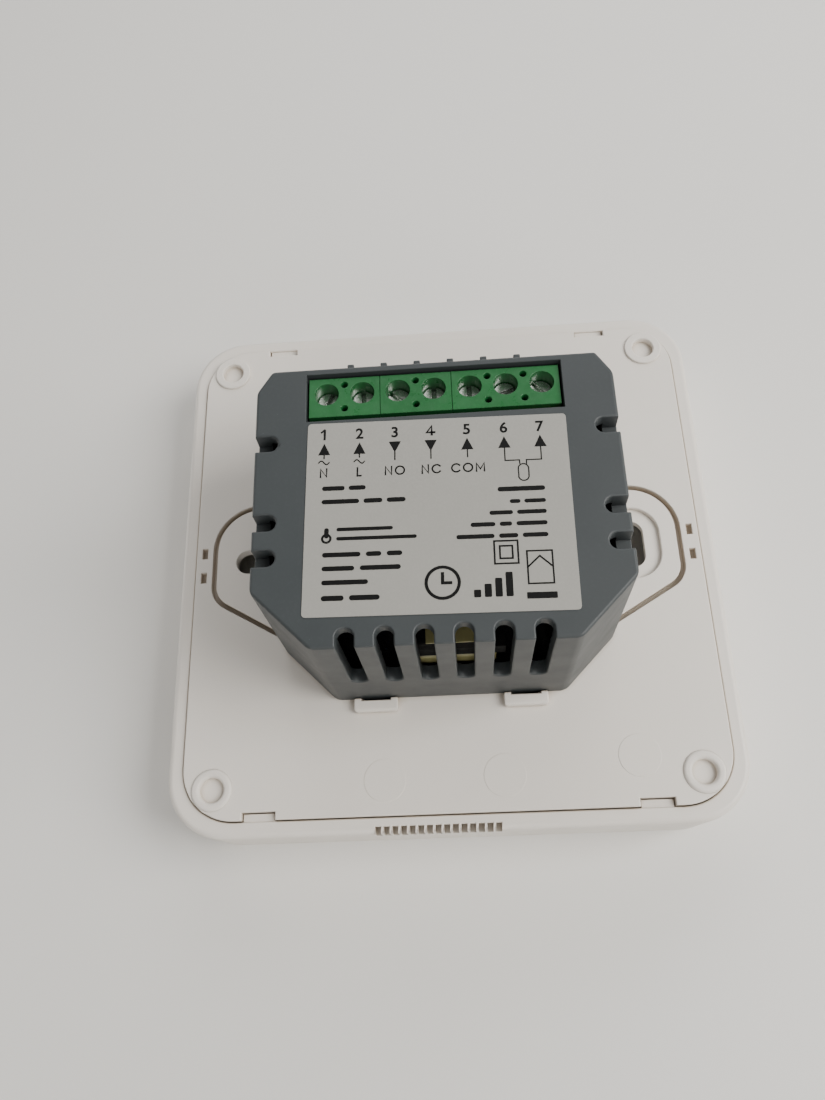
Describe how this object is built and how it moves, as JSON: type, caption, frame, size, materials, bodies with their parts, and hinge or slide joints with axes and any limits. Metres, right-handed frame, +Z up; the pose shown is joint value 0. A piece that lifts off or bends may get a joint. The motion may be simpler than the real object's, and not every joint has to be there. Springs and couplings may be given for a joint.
{
  "type": "wall thermostat",
  "caption": "Flush wall thermostat: square touch front that pulls off a base plate, with a chamfered rear box, screw terminals and rising wire clamps.",
  "frame": {"origin": "on the wall plane, midway between the two fixing slots of the base plate", "axes": "+X right as seen from the room, +Y into the wall, +Z up, as installed"},
  "size_m": [0.086, 0.0407, 0.086],
  "materials": {
    "front_shell": "fine satin",
    "plate": "fine satin, lightly spark-eroded",
    "black_glass": "polished, black printed on its back",
    "black_tape": "matt",
    "display": "smooth",
    "light_guide": "smooth",
    "board": "solder mask over copper tracks",
    "dark_board": "black solder mask over copper tracks",
    "white_board": "white solder mask over copper tracks",
    "steel": "zinc plated",
    "spring": "drawn wire",
    "chip": "moulded",
    "tinned_steel": "tinned",
    "grey_box": "fine spark-eroded",
    "label": "satin silver-white film",
    "green_plastic": "moulded",
    "contact_metal": "tinned",
    "relay": "moulded",
    "ferrite": "ground",
    "yellow_tape": "polyester film",
    "film_capacitor": "moulded",
    "capacitor_sleeve": "shrink sleeve over aluminium",
    "varistor": "dipped epoxy",
    "fuse": "moulded",
    "terminal_steel": "nickel plated",
    "clamp_steel": "zinc plated"
  },
  "bodies": {
    "base": {"base_plate": "plate", "rear_box": "grey_box", "rating_label": "label", "terminal_block_a": "green_plastic", "terminal_block_b": "green_plastic", "terminal_block_c": "green_plastic", "terminal_contacts": "contact_metal", "power_board": "dark_board", "relay": "relay", "transformer_core": "ferrite", "transformer_bobbin": "chip", "transformer_tape": "yellow_tape", "film_capacitor": "film_capacitor", "smoothing_capacitors": "capacitor_sleeve", "varistor": "varistor", "fuse": "fuse", "power_chips": "chip", "board_socket": "chip", "box_screws": "steel"},
    "front": {"front_housing": "front_shell", "glass_panel": "black_glass", "glass_tape": "black_tape", "display_cell": "display", "light_guide": "light_guide", "control_board": "white_board", "control_screws": "steel", "touch_springs": "spring", "processor_chip": "chip", "radio_board": "board", "radio_shield": "tinned_steel", "air_sensor": "chip", "pin_header": "chip"},
    "screw_1": {"terminal_screw_1": "terminal_steel"},
    "clamp_1": {"wire_clamp_1": "clamp_steel"},
    "screw_2": {"terminal_screw_2": "terminal_steel"},
    "clamp_2": {"wire_clamp_2": "clamp_steel"},
    "screw_3": {"terminal_screw_3": "terminal_steel"},
    "clamp_3": {"wire_clamp_3": "clamp_steel"},
    "screw_4": {"terminal_screw_4": "terminal_steel"},
    "clamp_4": {"wire_clamp_4": "clamp_steel"},
    "screw_5": {"terminal_screw_5": "terminal_steel"},
    "clamp_5": {"wire_clamp_5": "clamp_steel"},
    "screw_6": {"terminal_screw_6": "terminal_steel"},
    "clamp_6": {"wire_clamp_6": "clamp_steel"},
    "screw_7": {"terminal_screw_7": "terminal_steel"},
    "clamp_7": {"wire_clamp_7": "clamp_steel"}
  },
  "joints": [
    {"name": "front_pull", "type": "slide", "parent": "base", "child": "front", "axis": [0, -1, 0], "range_m": [0, 0.03]},
    {"name": "terminal_screw_1_turn", "type": "hinge", "parent": "base", "child": "screw_1", "pos_m": [0.015, 0.0225, 0.0142], "axis": [0, -1, 0], "range_deg": [0, 1710]},
    {"name": "wire_clamp_1_rise", "type": "slide", "parent": "base", "child": "clamp_1", "axis": [0, 1, 0], "range_m": [0, 0.00237]},
    {"name": "terminal_screw_2_turn", "type": "hinge", "parent": "base", "child": "screw_2", "pos_m": [0.01, 0.0225, 0.0142], "axis": [0, -1, 0], "range_deg": [0, 1710]},
    {"name": "wire_clamp_2_rise", "type": "slide", "parent": "base", "child": "clamp_2", "axis": [0, 1, 0], "range_m": [0, 0.00237]},
    {"name": "terminal_screw_3_turn", "type": "hinge", "parent": "base", "child": "screw_3", "pos_m": [0.005, 0.0225, 0.0142], "axis": [0, -1, 0], "range_deg": [0, 1710]},
    {"name": "wire_clamp_3_rise", "type": "slide", "parent": "base", "child": "clamp_3", "axis": [0, 1, 0], "range_m": [0, 0.00237]},
    {"name": "terminal_screw_4_turn", "type": "hinge", "parent": "base", "child": "screw_4", "pos_m": [0, 0.0225, 0.0142], "axis": [0, -1, 0], "range_deg": [0, 1710]},
    {"name": "wire_clamp_4_rise", "type": "slide", "parent": "base", "child": "clamp_4", "axis": [0, 1, 0], "range_m": [0, 0.00237]},
    {"name": "terminal_screw_5_turn", "type": "hinge", "parent": "base", "child": "screw_5", "pos_m": [-0.005, 0.0225, 0.0142], "axis": [0, -1, 0], "range_deg": [0, 1710]},
    {"name": "wire_clamp_5_rise", "type": "slide", "parent": "base", "child": "clamp_5", "axis": [0, 1, 0], "range_m": [0, 0.00237]},
    {"name": "terminal_screw_6_turn", "type": "hinge", "parent": "base", "child": "screw_6", "pos_m": [-0.01, 0.0225, 0.0142], "axis": [0, -1, 0], "range_deg": [0, 1710]},
    {"name": "wire_clamp_6_rise", "type": "slide", "parent": "base", "child": "clamp_6", "axis": [0, 1, 0], "range_m": [0, 0.00237]},
    {"name": "terminal_screw_7_turn", "type": "hinge", "parent": "base", "child": "screw_7", "pos_m": [-0.015, 0.0225, 0.0142], "axis": [0, -1, 0], "range_deg": [0, 1710]},
    {"name": "wire_clamp_7_rise", "type": "slide", "parent": "base", "child": "clamp_7", "axis": [0, 1, 0], "range_m": [0, 0.00237]}
  ],
  "couplings": [
    {"joint": "terminal_screw_1_turn", "follows": "wire_clamp_1_rise", "rad_per_m": 12566},
    {"joint": "terminal_screw_2_turn", "follows": "wire_clamp_2_rise", "rad_per_m": 12566},
    {"joint": "terminal_screw_3_turn", "follows": "wire_clamp_3_rise", "rad_per_m": 12566},
    {"joint": "terminal_screw_4_turn", "follows": "wire_clamp_4_rise", "rad_per_m": 12566},
    {"joint": "terminal_screw_5_turn", "follows": "wire_clamp_5_rise", "rad_per_m": 12566},
    {"joint": "terminal_screw_6_turn", "follows": "wire_clamp_6_rise", "rad_per_m": 12566},
    {"joint": "terminal_screw_7_turn", "follows": "wire_clamp_7_rise", "rad_per_m": 12566}
  ]
}
